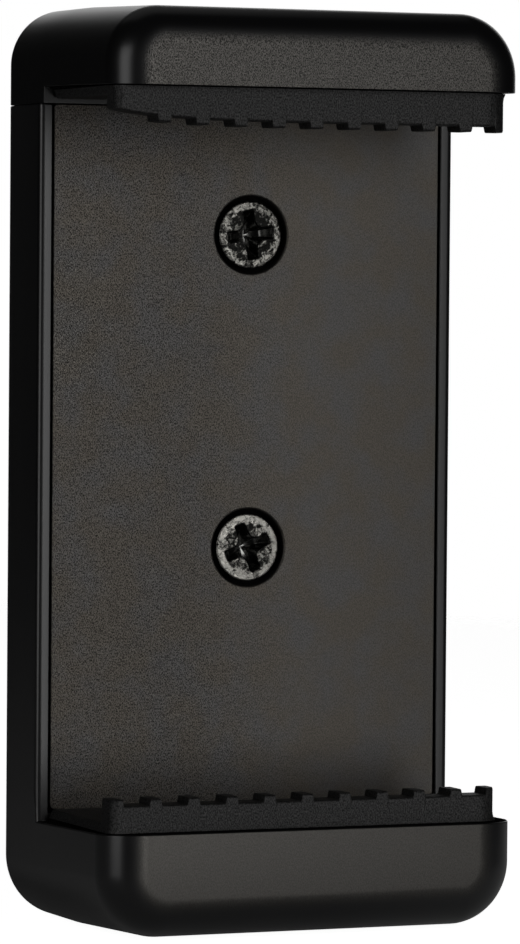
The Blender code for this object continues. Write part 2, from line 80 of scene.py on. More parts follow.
def unit(vectors):
    return vectors / np.linalg.norm(vectors, axis=1)[:, None]


def gridObject(name, rows, capLast=True, closeRows=False):
    # A grid of rows x columns x 3 points. Each row is a closed ring, joined to the next row by quads.
    # The first and last rings are closed by flat faces, or joined to each other with closeRows.
    rowCount, ringCount = rows.shape[:2]
    index = np.arange(rowCount * ringCount).reshape(rowCount, ringCount)
    if closeRows:
        index = np.vstack([index, index[:1]])
    after = np.roll(index, -1, axis=1)
    quads = np.stack([index[:-1], after[:-1], after[1:], index[1:]], axis=-1).reshape(-1, 4)
    faces = quads.tolist()
    if not closeRows:
        faces.append(index[0][::-1].tolist())
    if capLast and not closeRows:
        faces.append(index[-1].tolist())
    mesh = bpy.data.meshes.new(name)
    mesh.from_pydata(rows.reshape(-1, 3), [], faces)
    mesh.validate()
    pointOutwards(mesh)
    return newObject(name, mesh)


def pointOutwards(mesh):
    # Faces that point inwards enclose a negative volume, so they are all turned round.
    shape = bmesh.new()
    shape.from_mesh(mesh)
    if shape.calc_volume(signed=True) < 0:
        mesh.flip_normals()
    shape.free()


def boxObject(name, low, high):
    # Eight corners, low or high on each axis.
    pick = np.array([[0, 0], [1, 0], [1, 1], [0, 1]])
    low, high = np.array(low, float), np.array(high, float)
    ring = low[:2] + (high - low)[:2] * pick
    rows = [np.column_stack([ring, np.full(4, z)]) for z in (low[2], high[2])]
    return gridObject(name, np.array(rows))


def roundedOutline(corners, radii, steps):
    # A closed outline of straight runs and arcs. At each corner the arc starts and ends a tangent
    # length, radius times the tangent of half the turn, before and after the corner.
    corner = np.array(corners, float)
    radius = np.array(radii, float)
    arrive = unit(corner - np.roll(corner, 1, axis=0))
    leave = unit(np.roll(corner, -1, axis=0) - corner)
    turn = np.arctan2(arrive[:, 0] * leave[:, 1] - arrive[:, 1] * leave[:, 0], (arrive * leave).sum(1))
    tangent = radius * np.tan(np.abs(turn) / 2)
    side = np.sign(turn)[:, None] * np.column_stack([-arrive[:, 1], arrive[:, 0]])
    centre = corner - arrive * tangent[:, None] + side * radius[:, None]
    angle = turn[:, None] * np.linspace(0, 1, steps + 1)[None, :]
    away = -side[:, None, :]
    across = np.stack([-away[..., 1], away[..., 0]], axis=-1)
    spoke = away * np.cos(angle)[..., None] + across * np.sin(angle)[..., None]
    line = (centre[:, None, :] + spoke * radius[:, None, None]).reshape(-1, 2)
    step = np.linalg.norm(line - np.roll(line, 1, axis=0), axis=1)
    return line[step > 1e-8]


def outlineNormals(line):
    # The outward normal at each point of a counter-clockwise outline is the mean of its two edges'.
    edge = unit(np.roll(line, -1, axis=0) - line)
    both = edge + np.roll(edge, 1, axis=0)
    return unit(np.column_stack([both[:, 1], -both[:, 0]]))


def filledEnds(rows):
    # Adds rings that shrink towards the middle of the first and the last ring, so that the flat end
    # faces are quads that a cut divides cleanly.
    shares = np.array([0.04, 0.2, 0.4, 0.6, 0.8, 0.93])[:, None, None]
    first, last = rows[0].mean(axis=0), rows[-1].mean(axis=0)
    start = first + (rows[0] - first)[None] * shares
    end = last + (rows[-1] - last)[None] * shares[::-1]
    return np.concatenate([start, rows, end])


def turnedRings(profile, segments):
    # Each (radius, height) of the profile becomes a ring about the height axis.
    profile = np.array(profile, float)
    angle = np.arange(segments) * 2 * math.pi / segments
    radius, height = profile[:, :1], profile[:, 1:]
    wide = np.broadcast_to(height, (len(profile), segments))
    return radius * np.cos(angle), radius * np.sin(angle), wide


def turnedAlongY(name, profile, centre):
    # A profile turned about an axis along Y through the centre.
    across, up, depth = turnedRings(profile, 96)
    return gridObject(name, np.stack([centre[0] + across, depth, centre[1] + up], axis=-1))


def quarter(start, end, steps):
    # Angles from start to end in degrees, as sines and cosines of a rounded edge.
    angle = np.radians(np.linspace(start, end, steps + 1))
    return np.sin(angle), np.cos(angle)


def bake(thing):
    # Applies the modifiers and keeps the object.
    bpy.context.view_layer.update()
    graph = bpy.context.evaluated_depsgraph_get()
    mesh = bpy.data.meshes.new_from_object(thing.evaluated_get(graph))
    thing.modifiers.clear()
    thing.data = mesh
    return thing


def combine(thing, operation, *tools):
    # Cuts away, adds or keeps the common part, tool by tool. The tools are used up.
    for tool in tools:
        boolean = thing.modifiers.new("shape", "BOOLEAN")
        boolean.operation = operation
        boolean.solver = "EXACT"
        boolean.object = tool
        bake(thing)
        bpy.data.objects.remove(tool)
    return thing


def cadCopy(node):
    # A closed copy of a frame node's mesh, for its inner forms.
    thing = newObject("solid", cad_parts[node].data.copy())
    weld = thing.modifiers.new("weld", "WELD")
    weld.merge_threshold = 0.002 * mm
    bake(thing)
    thing.data.materials.clear()
    return thing


def mergeFlats(thing):
    # Joins neighbouring faces of one plane, as small ones would bend the shading at a rounded edge.
    merge = thing.modifiers.new("merged_flats", "DECIMATE")
    merge.decimate_type = "DISSOLVE"
    merge.angle_limit = math.radians(0.1)
    return bake(thing)


def finishPiece(thing, material, body, nodes, angle=32):
    # Smooth shading with the flat faces kept flat, then the material, the body and the slot.
    mesh = thing.data
    mesh.materials.clear()
    mesh.materials.append(material)
    mesh.polygons.foreach_set("material_index", np.zeros(len(mesh.polygons), np.int32))
    mesh.shade_smooth()
    mesh.set_sharp_from_angle(angle=math.radians(angle))
    if body is not None:
        weighted = thing.modifiers.new("flat_faces_lead", "WEIGHTED_NORMAL")
        weighted.keep_sharp = True
        weighted.weight = 80
        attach(thing, body)
    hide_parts(*nodes)
    return thing


# Material helpers

smooth = {"interpolation_type": "SMOOTHSTEP"}


def linear(hexColour):
    # sRGB hex to linear light.
    value = np.array([int(hexColour[i : i + 2], 16) for i in (1, 3, 5)]) / 255
    value = np.where(value <= 0.04045, value / 12.92, ((value + 0.055) / 1.055) ** 2.4)
    return (*value.tolist(), 1.0)


def addNode(tree, kind, inputs=(), **settings):
    # One node with its settings. Its inputs are named, or listed in their order, which for a Map Range
    # is value, from min, from max, to min, to max. Each one gets a number, a colour as hex, or a link:
    # a node stands for its first output in use, and (node, output) for another.
    node = tree.nodes.new("ShaderNode" + kind)
    for key, value in settings.items():
        setattr(node, key, value)
    for key, value in inputs.items() if isinstance(inputs, dict) else enumerate(inputs):
        if isinstance(value, bpy.types.Node):
            value = (value, [output.enabled for output in value.outputs].index(True))
        if isinstance(value, tuple) and isinstance(value[0], bpy.types.Node):
            tree.links.new(value[0].outputs[value[1]], node.inputs[key])
        else:
            node.inputs[key].default_value = linear(value) if isinstance(value, str) else value
    return node


def newMaterial(name):
    # An empty material, its tree and the place on the object for its patterns.
    material = bpy.data.materials.new(name)
    material.use_nodes = True
    tree = material.node_tree
    tree.nodes.clear()
    return material, tree, (addNode(tree, "TexCoord"), "Object")


def perMetre(millimetres):
    # The noise scale for a size in millimetres, on Object coordinates in metres.
    return 1000.0 / millimetres


def moulded(tree, place, look, amount):
    # Pebbles copied from an eroded or blasted mould, narrower than they are tall. Gives their bump and
    # how strongly each one throws light back, from nothing to twice the plain level. The amount scales
    # both, and 0 leaves a smooth face.
    level = look["level"]
    stretched = addNode(tree, "Mapping", {"Vector": place, "Scale": (1, 1, look["stretch"])})
    grit = {"Vector": stretched, "Scale": perMetre(look["pebble"]), "Detail": 1.0, "Roughness": 0.6}
    pebbles = addNode(tree, "TexNoise", grit)
    bump = addNode(tree, "Bump", {"Height": pebbles, "Strength": amount, "Distance": look["depth"] * mm})
    swing = addNode(tree, "MapRange", [pebbles, 0.37, 0.63, -level, level])
    glint = addNode(tree, "Math", [swing, amount, level], operation="MULTIPLY_ADD")
    return bump, glint


# Black ABS, injection moulded in a polished tool, with a soft sheen. The tool is
# spark-eroded where the faces point to the front, so those are duller. The jaws' front faces also
# scatter light in fine upright pebbles, deep on the sliding jaw and shallow on the fixed one, and
# their shine is a little warm. The faces that look up and down into the bay are dull: their shine is
# switched off, and they are painted a lighter grey, a painted light in place of the dim reflection they
# show.
def satinAbs():
    look = {
        "colour": "#0b0b0c", "grainColour": "#101010", "bayPaintedGrey": "#191919",
        "sheenTint": "#ffffff", "grainTint": "#fffaf2", "roughness": (0.29, 0.41),
        "pebble": 0.07, "stretch": 0.5, "depth": 0.03, "level": 0.5,
        "amount": (0.18, 0.78), "amountZ": (40.0, 41.0), "grainFade": (0.3, 0.01),
        "orangePeel": 1.6, "orangePeelDepth": 0.0025, "orangePeelStrength": 0.6,
        "etchedTurn": (-0.82, -0.99), "bayTurn": (0.9, 0.97), "bayMiddle": 40.7, "bayHalf": 32.5,
    }
    material, tree, place = newMaterial("satin_black_abs")
    split = addNode(tree, "SeparateXYZ", [place])
    turned = addNode(tree, "SeparateXYZ", [(place[0], "Normal")])
    start, full = (noseY + reach * mm for reach in look["grainFade"])
    front = addNode(tree, "MapRange", [(split, "Y"), start, full], **smooth)
    low, high = (level * mm for level in look["amountZ"])
    amount = addNode(tree, "MapRange", [(split, "Z"), low, high, *look["amount"]])
    grained = addNode(tree, "Math", [front, amount], operation="MULTIPLY")
    bump, glint = moulded(tree, place, look, grained)
    peel = addNode(tree, "TexNoise", {"Vector": place, "Scale": perMetre(look["orangePeel"]), "Detail": 2.0})
    strength, depth = look["orangePeelStrength"], look["orangePeelDepth"] * mm
    soft = addNode(tree, "Bump", {"Height": peel, "Normal": bump, "Strength": strength, "Distance": depth})
    etched = [(turned, "Y"), *look["etchedTurn"], *look["roughness"]]
    roughness = addNode(tree, "MapRange", etched, **smooth)
    bayReach = [(split, "Z"), look["bayMiddle"] * mm, look["bayHalf"] * mm]
    level = addNode(tree, "Math", bayReach, operation="COMPARE")
    flat = addNode(tree, "Math", [(turned, "Z")], operation="ABSOLUTE")
    # Painted light: faces that look up and down into the bay lose their shine and take a lighter grey.
    bay = addNode(tree, "MapRange", [flat, *look["bayTurn"], 0.0, level])
    shiny = addNode(tree, "MapRange", [bay, 0.0, 1.0, glint, 0.0])
    shades = {"Factor": front, "A": look["colour"], "B": look["grainColour"]}
    shellColour = addNode(tree, "Mix", shades, data_type="RGBA")
    # The bay's lighter grey is painted light, in place of the dim reflection these faces show.
    shades = {"Factor": bay, "A": shellColour, "B": look["bayPaintedGrey"]}
    colour = addNode(tree, "Mix", shades, data_type="RGBA")
    tints = {"Factor": front, "A": look["sheenTint"], "B": look["grainTint"]}
    tint = addNode(tree, "Mix", tints, data_type="RGBA")
    surface = {"Base Color": colour, "Roughness": roughness, "Normal": soft}
    shine = {"IOR": 1.53, "Specular Tint": tint, "Specular IOR Level": shiny}
    addNode(tree, "OutputMaterial", [addNode(tree, "BsdfPrincipled", {**surface, **shine})])
    return material


# Black ABS moulded against a spark-eroded steel: an even pebbled grain that breaks the reflection of
# the lamps into grey speckles. It is crisper towards the left, and its shine is warmer than the
# shells', with cooler clouds.
def sparkErodedAbs():
    look = {
        "colour": "#100f0f", "warmTint": "#fff4e4", "coolTint": "#fcf9f6", "cloud": 3.5,
        "roughness": 0.43, "pebble": 0.07, "stretch": 0.5, "depth": 0.035, "level": 0.57,
        "softRightOf": 9.0, "crispLeftOf": -8.0, "amount": (0.25, 0.8),
    }
    material, tree, place = newMaterial("spark_eroded_black_abs")
    split = addNode(tree, "SeparateXYZ", [place])
    reach = [(split, "X"), look["softRightOf"] * mm, look["crispLeftOf"] * mm, *look["amount"]]
    crisp = addNode(tree, "MapRange", reach, **smooth)
    bump, glint = moulded(tree, place, look, crisp)
    clouds = addNode(tree, "TexNoise", {"Vector": place, "Scale": perMetre(look["cloud"]), "Detail": 3.0})
    shown = addNode(tree, "MapRange", [clouds, 0.4, 0.66])
    tints = {"Factor": shown, "A": look["warmTint"], "B": look["coolTint"]}
    tint = addNode(tree, "Mix", tints, data_type="RGBA")
    surface = {"Base Color": look["colour"], "Roughness": look["roughness"], "Normal": bump}
    shine = {"IOR": 1.53, "Specular Tint": tint, "Specular IOR Level": glint}
    addNode(tree, "OutputMaterial", [addNode(tree, "BsdfPrincipled", {**surface, **shine})])
    return material


# Black nitrile rubber, pressed in a blasted mould: dull, with pale specks of bloom and dust.
def dullRubber():
    look = {
        "colour": "#070707", "speck": "#232221", "speckSize": 0.16, "roughness": 0.62,
        "pebble": 0.1, "stretch": 0.6, "depth": 0.04, "level": 0.42, "amount": 0.6,
    }
    material, tree, place = newMaterial("dull_black_rubber")
    dust = {"Vector": place, "Scale": perMetre(look["speckSize"] * 2), "Detail": 3.0, "Roughness": 0.7}
    shown = addNode(tree, "MapRange", [addNode(tree, "TexNoise", dust), 0.5, 0.72], **smooth)
    shades = {"Factor": shown, "A": look["colour"], "B": look["speck"]}
    colour = addNode(tree, "Mix", shades, data_type="RGBA")
    bump, glint = moulded(tree, place, look, look["amount"])
    surface = {"Base Color": colour, "Roughness": look["roughness"], "Normal": bump}
    shine = {"IOR": 1.5, "Specular IOR Level": glint}
    addNode(tree, "OutputMaterial", [addNode(tree, "BsdfPrincipled", {**surface, **shine})])
    return material


# Blackened steel, cold headed. The coat is worn through where the driver and the hand rub, so the
# lands and most of all the rim shine in grey patches. The recess is smoother and black, but for the
# glints where it turns to the lamp.
def blackenedSteel(name, node, wear):
    look = {
        "coat": "#161615", "steel": "#9c9a94", "recess": "#5c5c5a",
        "recessRoughness": 0.2, "roughness": (0.24, 0.5), "depth": 0.05,
        "patch": 0.22, "scratch": 0.1, "wornDepth": (0.4, 0.2),
        "ring": (2.0, 2.5), "ringWear": 0.13, "wornFrom": 0.62, "wornTo": 0.82,
    }
    material, tree, place = newMaterial(name)
    patchy = {"Scale": perMetre(look["patch"] * 2), "Detail": 5.0, "Roughness": 0.68, "Distortion": 0.6}
    marks = addNode(tree, "TexNoise", {"Vector": place, **patchy})
    fine = {"Scale": perMetre(look["scratch"] * 2), "Detail": 3.0, "Roughness": 0.6, "Distortion": 1.2}
    scratches = addNode(tree, "TexNoise", {"Vector": place, **fine})
    split = addNode(tree, "SeparateXYZ", [place])
    black, bare = (plateLow.y + depth * mm for depth in look["wornDepth"])
    outer = addNode(tree, "MapRange", [(split, "Y"), black, bare], **smooth)
    right, up = screwCentre(node)
    radius = addNode(tree, "VectorMath", [place, (right, plateLow.y, up)], operation="DISTANCE")
    inside, rim = (distance * mm for distance in look["ring"])
    ring = addNode(tree, "MapRange", [radius, inside, rim, 0.0, look["ringWear"]], **smooth)
    rubbed = addNode(tree, "Math", [marks, ring], operation="ADD")
    limits = [rubbed, look["wornFrom"] - wear, look["wornTo"] - wear]
    patches = addNode(tree, "MapRange", limits, **smooth)
    shades = {"Factor": patches, "A": look["coat"], "B": look["steel"]}
    land = addNode(tree, "Mix", shades, data_type="RGBA")
    colour = addNode(tree, "Mix", {"Factor": outer, "A": look["recess"], "B": land}, data_type="RGBA")
    scuffs = addNode(tree, "MapRange", [scratches, 0.35, 0.65, *look["roughness"]])
    roughness = addNode(tree, "MapRange", [outer, 0.0, 1.0, look["recessRoughness"], scuffs])
    bump = addNode(tree, "Bump", {"Height": scratches, "Strength": outer, "Distance": look["depth"] * mm})
    surface = {"Base Color": colour, "Metallic": 1.0, "Roughness": roughness, "Normal": bump}
    addNode(tree, "OutputMaterial", [addNode(tree, "BsdfPrincipled", surface)])
    return material


# Drawn and turned metals, with fine lines left by the die or the tool.
def machinedMetal(name, bright, dull, roughness, lineWidth, axisScale):
    material, tree, place = newMaterial(name)
    stretched = addNode(tree, "Mapping", {"Vector": place, "Scale": axisScale})
    fine = {"Vector": stretched, "Scale": perMetre(lineWidth * 2), "Detail": 3.0}
    lines = addNode(tree, "TexNoise", fine)
    colour = addNode(tree, "Mix", {"Factor": lines, "A": dull, "B": bright}, data_type="RGBA")
    rough = addNode(tree, "MapRange", [lines, 0.3, 0.7, roughness - 0.08, roughness + 0.08])
    bump = addNode(tree, "Bump", {"Height": lines, "Strength": 0.5, "Distance": 0.004 * mm})
    surface = {"Base Color": colour, "Metallic": 1.0, "Roughness": rough, "Normal": bump}
    addNode(tree, "OutputMaterial", [addNode(tree, "BsdfPrincipled", surface)])
    return material


shellMaterial = satinAbs()
plateMaterial = sparkErodedAbs()
rubberMaterial = dullRubber()
# Hard-drawn spring wire keeps long die lines and a cold shine.
wireMaterial = machinedMetal("drawn_spring_steel", "#d4d5d8", "#8d8f94", 0.26, 0.08, (1, 1, 0.2))
# Turned brass shows the feed marks of the tool round it and a warm shine.
brassMaterial = machinedMetal("turned_brass", "#e6c988", "#b8935a", 0.28, 0.1, (0.15, 0.15, 1))
print("materials made")


# Housing and sliding jaw

plate = {
    "thickness": 1.6, "corner": 0.6, "topCorner": 0.25, "edgeRound": 0.09, "sideGap": 0.04, "topGap": 0.03,
    "recessRadius": 3.4, "recessLip": 0.18, "floorSlope": 0.5, "holeRadius": 1.75,
    "cupWall": 1.0, "cupStart": 0.8, "cupEdge": 0.2, "headHeight": 2.1, "headSink": 0.05,
    "screwShift": {"plate_screw_upper": (0.26, 0.2), "plate_screw_lower": (0.19, 0.19)},
}
# Radii at the bottom left, bottom right, top right and top left corners of each block, and the nose's
# radii at its stations, which are shares of the half width from the middle.
housingBlock = {
    "corners": (5.6, 5.5, 5.3, 5.3), "nose": (3.4, 3.72, 3.75, 4.2), "leftDraft": 0.75, "rightDraft": 0.1,
}
jawBlock = {
    "corners": (5.3, 5.3, 5.5, 4.9), "nose": (3.25, 3.25, 3.35, 3.93), "leftDraft": 1.1, "rightDraft": 0.13,
}
shell = {
    "noseStations": (-0.6, 0, 0.75, 1), "backFillet": 1.0, "sideDraft": 0.75, "endDraft": 0.45,
    "lowerArm": 9.35, "upperArm": 7.15, "faceLean": 0.25,
    "rimWall": 1.17, "rimRound": 0.55, "edgeRound": 0.12, "seamGap": 0.05,
    "plateGap": 0.22, "sideWall": 2.6, "backWall": 1.6, "sill": 0.95,
    "armWall": 2.2, "armFloor": 1.9, "padSetback": 1.2,
    "lug": 0.6, "lugDepth": 1.2, "grooveTop": 51.0,
    "bossRadius": 6.4, "bossTop": 7.3, "insertRadius": 4.5,
}
lowerFaceZ = shell["lowerArm"] * mm
upperFaceZ = topZ - shell["upperArm"] * mm


def outerBlock(name, block, draftFromY):
    # The closed holder as one block: a rounded rectangle carried from the back to the nose. Its inset
    # follows a quarter round at both ends, and the nose's radius changes from left to right. The sides
    # lean in evenly from draftFromY to the nose, the top and bottom from the rim to the nose, each
    # about the point that keeps its place.
    corners = [(-halfWidth, 0), (halfWidth, 0), (halfWidth, topZ), (-halfWidth, topZ)]
    line = roundedOutline(corners, np.array(block["corners"]) * mm, 24)
    normal = outlineNormals(line)
    back, ones = shell["backFillet"] * mm, np.ones(len(line))
    stations = np.array(shell["noseStations"]) * halfWidth
    nose = np.interp(line[:, 0], stations, np.array(block["nose"]) * mm)
    backSine, backCosine = quarter(90, 0, 8)
    noseSine, noseCosine = quarter(0, 90, 20)
    backInsets = np.concatenate([[back + hair], back * (1 - backCosine), [0, 0, 0]])
    insets = np.vstack([np.outer(backInsets, ones), np.outer(1 - noseCosine, nose), nose + hair])
    backDepths = np.concatenate([[backY], backY - back * (1 - backSine), [backY - back - hair, rimY]])
    noseDepths = noseY + np.outer(1 - noseSine, nose)
    depths = np.vstack([np.outer(backDepths, ones), noseY + nose + hair, noseDepths, noseY * ones])
    starts = np.array([draftFromY, rimY])
    lean = np.clip((starts - depths[..., None]) / (starts - noseY), 0, 1)
    left, right = block["leftDraft"] * mm, block["rightDraft"] * mm
    shares = np.array([(left + right) / (2 * halfWidth), 2 * shell["endDraft"] * mm / topZ])
    middle = np.array([halfWidth * (left - right) / (left + right), topZ / 2])
    flat = middle + (line - middle) * (1 - lean * shares) - normal * insets[..., None]
    return gridObject(name, filledEnds(np.stack([flat[..., 0], depths, flat[..., 1]], axis=-1)))


def phoneBay(name):
    # The room between the arms. At the rim it is taller by the lean on both sides. Its rim side is
    # divided, so that the plate's pocket later cuts small faces there.
    inner = 0.8 * halfWidth
    lean = shell["faceLean"] * mm * (rimY - noseY + mm) / (rimY - noseY)
    across = np.array([-far, far, far, inner, 0, -inner, -far])
    deep = np.array([noseY - mm, noseY - mm, rimY, rimY, rimY, rimY, rimY])
    spread = np.where(deep == rimY, lean, 0)
    bottom, top = lowerFaceZ - spread, upperFaceZ + spread
    levels = [bottom, bottom * 0 + plateLow.z + 2 * mm, bottom * 0 + seamZ - mm, top]
    return gridObject(name, np.array([np.column_stack([across, deep, z]) for z in levels]))


def roundEdges(thing):
    # Rounds every edge that turns more than 30 degrees, and the rim's upright outer corners by their
    # wider radius.
    mesh = thing.data
    ends = np.zeros(len(mesh.edges) * 2, np.int32)
    mesh.edges.foreach_get("vertices", ends)
    places = np.zeros(len(mesh.vertices) * 3)
    mesh.vertices.foreach_get("co", places)
    x, y = places.reshape(-1, 3)[ends.reshape(-1, 2)].transpose(2, 0, 1)[:2]
    away = np.maximum(np.abs(np.abs(x) - halfWidth), np.abs(y - rimY)).max(axis=1)
    mesh.set_sharp_from_angle(angle=math.radians(30))
    sharp = np.zeros(len(mesh.edges), bool)
    mesh.attributes["sharp_edge"].data.foreach_get("value", sharp)
    small, wide = shell["edgeRound"] * mm, shell["rimRound"] * mm
    weight = np.where(away < 0.02 * mm, 1.0, small / wide) * sharp
    layer = mesh.attributes.new("bevel_weight_edge", "FLOAT", "EDGE")
    layer.data.foreach_set("value", weight.astype(np.float32))
    bevel = thing.modifiers.new("rounded_edges", "BEVEL")
    bevel.limit_method = "WEIGHT"
    bevel.width = wide
    bevel.segments = 4
    return bake(thing)


def hollow(name, low, high):
    # The room inside a jaw's arm, open towards the pad.
    half = halfWidth - (shell["sideDraft"] + shell["armWall"]) * mm
    front = noseY + (shell["armWall"] + shell["padSetback"]) * mm
    return boxObject(name, (-half, front, low), (half, rimY - shell["armWall"] * mm, high))


def upright(name, radius, low, high):
    # A cylinder along Z in the middle of the holder.
    across, deep, up = turnedRings([(radius, low), (radius, high)], 96)
    return gridObject(name, np.stack([across, deep, up], axis=-1))


def makeHousing():
    # The block below the seam, with its bay, pocket and channel. What stands in the channel, the rod
    # seats and the screw bosses, comes from the frame node.
    housing = outerBlock("housing_shell", housingBlock, rimY)
    top = seamZ - shell["seamGap"] / 2 * mm
    pocketHalf = halfWidth - shell["rimWall"] * mm
    pocketLow = plateLow.z - shell["plateGap"] * mm
    seatY = plateLow.y + plate["thickness"] * mm + gap
    channelHalf = halfWidth - shell["sideWall"] * mm
    channelBack = backY - shell["backWall"] * mm
    sill = plateLow.z + shell["sill"] * mm
    combine(
        housing,
        "DIFFERENCE",
        boxObject("above", (-far, -far, top), (far, far, 2 * topZ)),
        phoneBay("bay"),
        boxObject("pocket", (-pocketHalf, rimY - mm, pocketLow), (pocketHalf, seatY, topZ)),
        boxObject("channel", (-channelHalf, rimY, sill), (channelHalf, channelBack, topZ)),
    )
    roundEdges(housing)
    low = (-channelHalf - hair, seatY + hair, sill - hair)
    standing = boxObject("standing", low, (channelHalf + hair, channelBack + hair, seamZ - mm))
    combine(housing, "UNION", combine(standing, "INTERSECT", cadCopy("housing")))
    rodLow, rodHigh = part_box("spring_rod_lower")
    lugY = (rodLow.y + rodHigh.y) / 2
    reach, deep = shell["lug"] * mm, shell["lugDepth"] / 2 * mm + gap
    for side in (-1, 1):
        near, out = sorted((side * (channelHalf - hair), side * (channelHalf + reach)))
        low, high = (near, lugY - deep, sill + gap), (out, lugY + deep, shell["grooveTop"] * mm)
        combine(housing, "DIFFERENCE", boxObject("groove", low, high))
    combine(housing, "DIFFERENCE", hollow("hollow", shell["armFloor"] * mm, lowerFaceZ + 2 * mm))
    combine(housing, "UNION", upright("boss", shell["bossRadius"] * mm, mm, shell["bossTop"] * mm))
    hole = upright("hole", shell["insertRadius"] * mm, -mm, shell["bossTop"] * mm - gap)
    combine(housing, "DIFFERENCE", hole)
    print("housing made")
    return mergeFlats(housing)


def makeJaw():
    # The block above the seam. Its tongue with the spring lanes and the lugs comes from the frame node.
    jaw = outerBlock("sliding_jaw_shell", jawBlock, backY - shell["backFillet"] * mm)
    bottom = seamZ + shell["seamGap"] / 2 * mm
    below = boxObject("below", (-far, -far, -topZ), (far, far, bottom))
    combine(jaw, "DIFFERENCE", below, phoneBay("bay"))
    roundEdges(jaw)
    low = (-halfWidth + mm, rimY + 0.5 * mm, 0)
    tongue = boxObject("tongue", low, (halfWidth - mm, backY - mm, bottom + mm))
    combine(jaw, "UNION", combine(tongue, "INTERSECT", cadCopy("sliding_jaw")))
    combine(jaw, "DIFFERENCE", hollow("hollow", upperFaceZ - 2 * mm, topZ - shell["armFloor"] * mm))
    print("sliding jaw made")
    return mergeFlats(jaw)


finishPiece(makeHousing(), shellMaterial, "holder", ["housing"])
finishPiece(makeJaw(), shellMaterial, "jaw", ["sliding_jaw"])


# Front plate

def screwCentre(node):
    # The screws sit a little to the right of the middle and up, as the photo shows.
    low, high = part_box(node)
    right, up = plate["screwShift"][node]
    return (low.x + high.x) / 2 + right * mm, (low.z + high.z) / 2 + up * mm


def makePlate():
    # A rounded outline moved inwards along its normals and carried from the back to the face. A turned
    # cup is added behind each screw, and a turned recess with a flared lip is cut from the front.
    half = plateHigh.x + plate["sideGap"] * mm
    faceY, backFaceY = plateLow.y, plateLow.y + plate["thickness"] * mm
    top = seamZ - plate["topGap"] * mm
    corners = [(-half, plateLow.z), (half, plateLow.z), (half, top), (-half, top)]
    radii = np.repeat([plate["corner"] * mm, plate["topCorner"] * mm], 2)
    line = roundedOutline(corners, radii, 8)
    edge = plate["edgeRound"] * mm
    sine, cosine = quarter(0, 90, 5)
    insets = np.concatenate([[edge, 0, 0], edge * (1 - cosine), [edge + hair]])
    rear = [backFaceY, backFaceY - edge, faceY + 2 * edge]
    depths = np.concatenate([rear, faceY + edge * (1 - sine), [faceY]])
    flat = line[None] - outlineNormals(line)[None] * insets[:, None, None]
    deep = np.broadcast_to(depths[:, None], flat.shape[:2])
    rows = np.stack([flat[..., 0], deep, flat[..., 1]], axis=-1)
    slab = gridObject("front_plate_shell", filledEnds(rows))
    radius, lip = plate["recessRadius"] * mm, plate["recessLip"] * mm
    floorY = faceY + (plate["headSink"] + plate["headHeight"]) * mm + gap
    cupRadius = radius + plate["cupWall"] * mm
    hole = plate["holeRadius"] * mm
    slope = plate["floorSlope"] * mm
    cupFront, cupEdge = faceY + plate["cupStart"] * mm, plate["cupEdge"] * mm
    lipSine, lipCosine = quarter(0, 84, 6)
    for node in ("plate_screw_upper", "plate_screw_lower"):
        centre = screwCentre(node)
        cupBack = floorY + plate["cupWall"] * mm
        cup = [(cupRadius, cupFront), (cupRadius, cupBack - cupEdge), (cupRadius - cupEdge, cupBack)]
        combine(slab, "UNION", turnedAlongY("cup", cup, centre))
        flare = np.column_stack([radius + lip * (1 - lipCosine), faceY + lip * (1 - lipSine)])
        outer = [(radius + lip * 1.4, faceY - mm)]
        wall = [(radius, faceY + lip + 0.1 * mm), (radius, floorY - slope), (radius - slope, floorY)]
        bore = [(hole, floorY), (hole, cupBack + mm)]
        combine(slab, "DIFFERENCE", turnedAlongY("recess", [*outer, *flare[::-1], *wall, *bore], centre))
    print("front plate made")
    return mergeFlats(slab)


finishPiece(makePlate(), plateMaterial, "holder", ["front_plate"])


# Rubber pads

pad = {
    "leftCorner": 0.75, "rightCorner": 1.6, "rearCorner": 0.35,
    "lipDepth": 2.6, "base": 0.8, "seat": 0.05, "edge": 0.22, "foot": 0.22, "flare": 0.25,
    "toothPitch": 3.47, "toothSoft": 0.07, "lastTooth": 5, "plainEnd": 0.3, "plugDepth": 1.4,
    "pushLength": 4.6,
}
# Where each pad's ends, teeth and heights lie in the photo. The upper one's left end is pushed in.
lowerGrip = {
    "left": -18.2, "right": 17.6, "rightLength": 1.95, "lip": 2.9,
    "firstTooth": -5, "toothShift": -0.34, "toothWidth": 1.08, "toothHeight": 0.56,
    "pushedIn": 0.0,
}
upperGrip = {
    "left": -18.2, "right": 18.0, "rightLength": 2.3, "lip": 3.38,
    "firstTooth": -4, "toothShift": 0.0, "toothWidth": 1.2, "toothHeight": 0.5,
    "pushedIn": 0.85,
}


def roundOff(x, low, high, radius):
    # How far a quarter round of that radius has dropped at x, near either end of the length.
    past = np.clip(np.maximum(low + radius - x, x - high + radius), 0, radius)
    return radius - np.sqrt(radius**2 - past**2)


def padStations(left, right, teeth, halfTooth, endLength):
    # Where the sections lie along X: closer at both ends and at the flanks of the teeth.
    flanks = np.concatenate([teeth - halfTooth, teeth + halfTooth])
    margin = pad["plainEnd"] * mm
    flanks = flanks[(flanks > left + margin) & (flanks < right - margin)]
    near = (flanks[:, None] + np.linspace(-1.5, 1.5, 9)[None] * pad["toothSoft"] * mm).ravel()
    ends = np.linspace(0, 1, 24) ** 2 * endLength
    plain = np.linspace(left + endLength, right - endLength, 100)
    x = np.unique(np.round(np.concatenate([left + ends, plain, near, right - ends]), 8))
    return x[np.concatenate([[True], np.diff(x) > 0.004 * mm])][:, None]


